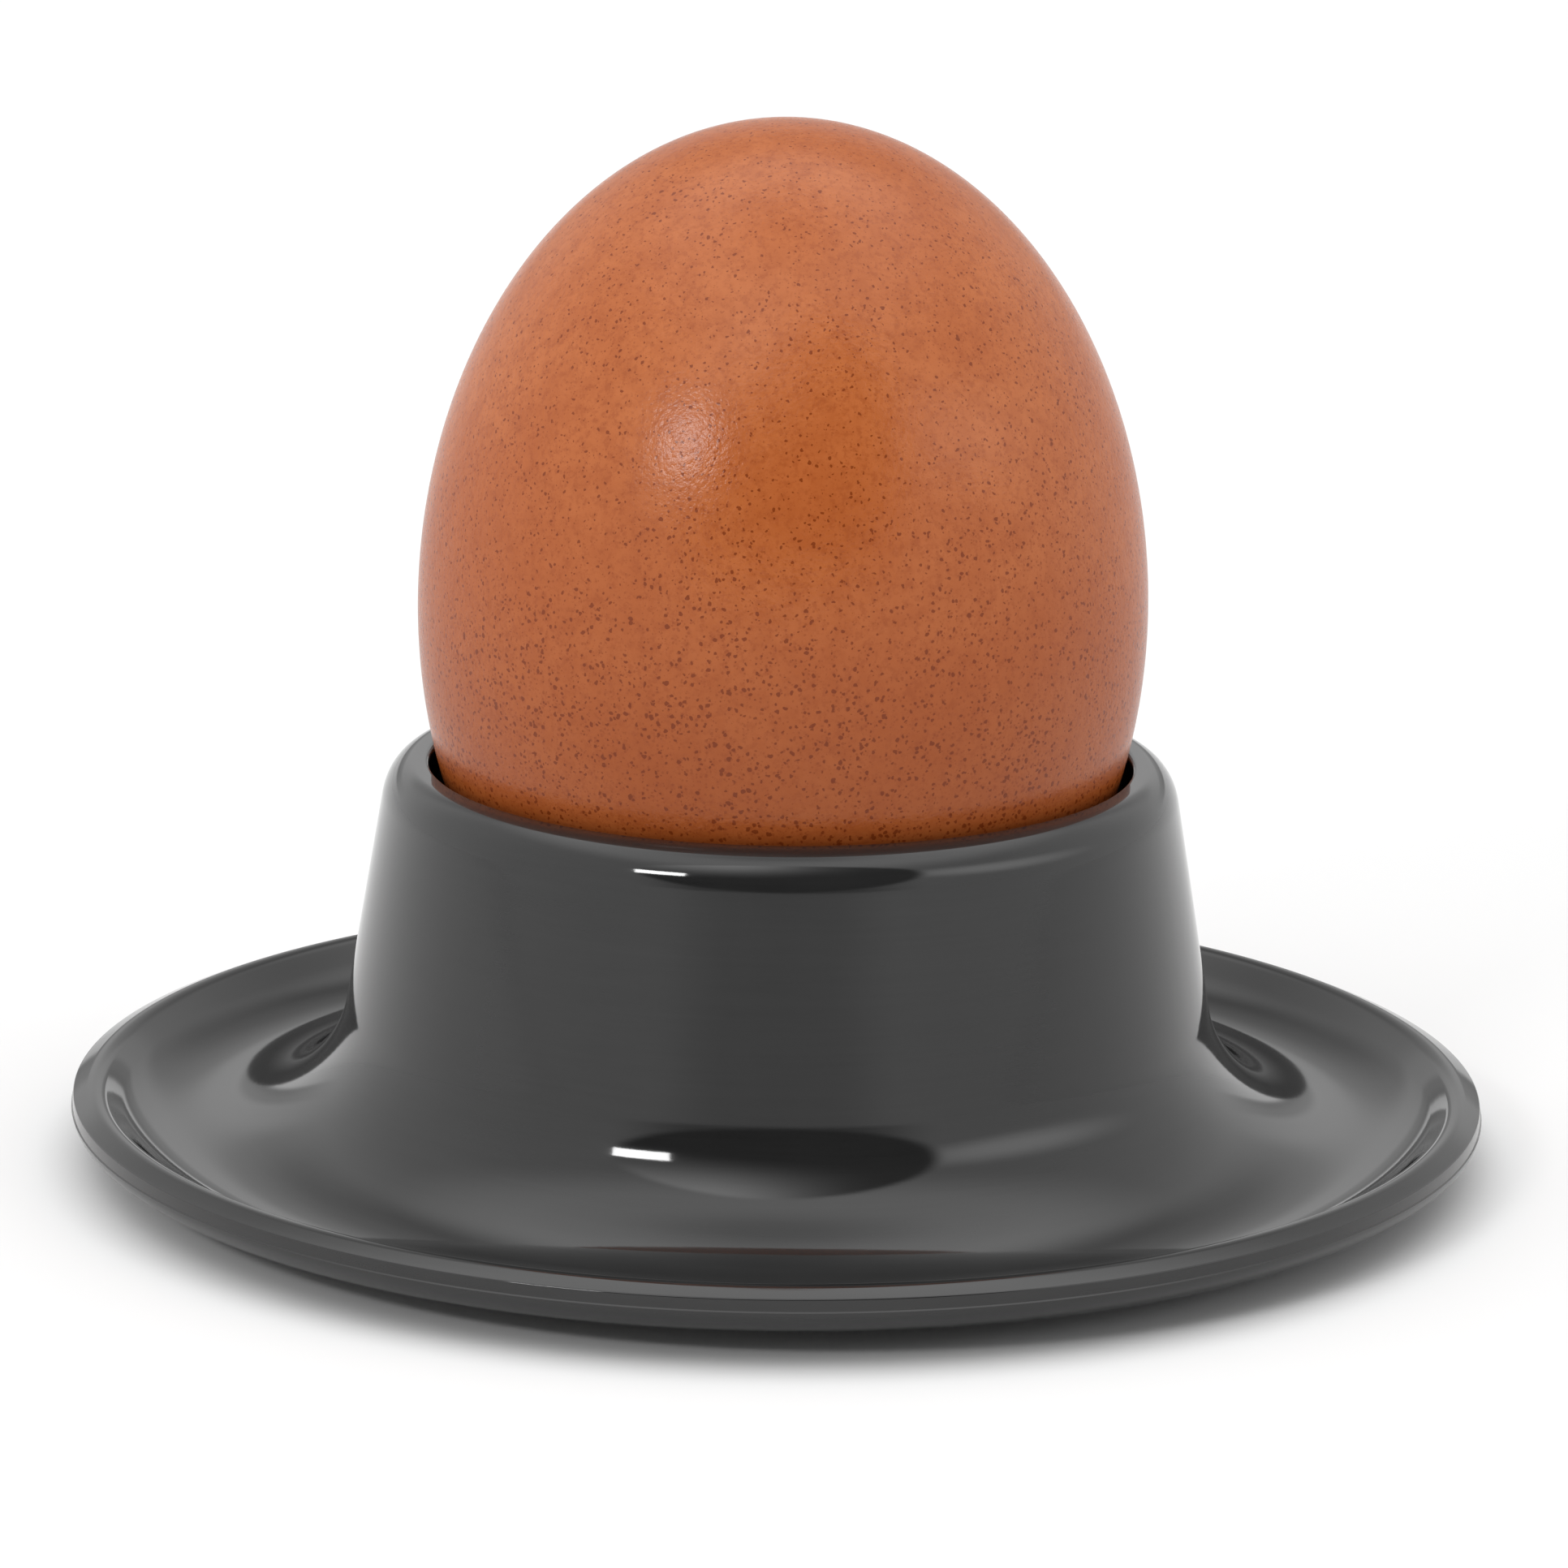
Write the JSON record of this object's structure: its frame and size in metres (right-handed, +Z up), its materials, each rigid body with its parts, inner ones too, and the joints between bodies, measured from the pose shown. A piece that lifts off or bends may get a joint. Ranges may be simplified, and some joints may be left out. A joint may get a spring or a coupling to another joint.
{
  "type": "boiled egg in egg cup",
  "caption": "Whole brown boiled egg standing upright in a glossy black egg cup that is moulded in one piece with its round saucer.",
  "frame": {"origin": "centre of the saucer's foot ring, on the surface it stands on", "axes": "+Z up, along the axis of the cup and the egg; both pieces are round about it, so X and Y are free"},
  "size_m": [0.086, 0.086, 0.0632],
  "materials": {
    "cup": "gloss",
    "shell": "satin, finely speckled"
  },
  "bodies": {
    "root": {"egg_cup": "cup", "boiled_egg": "shell"}
  },
  "joints": []
}
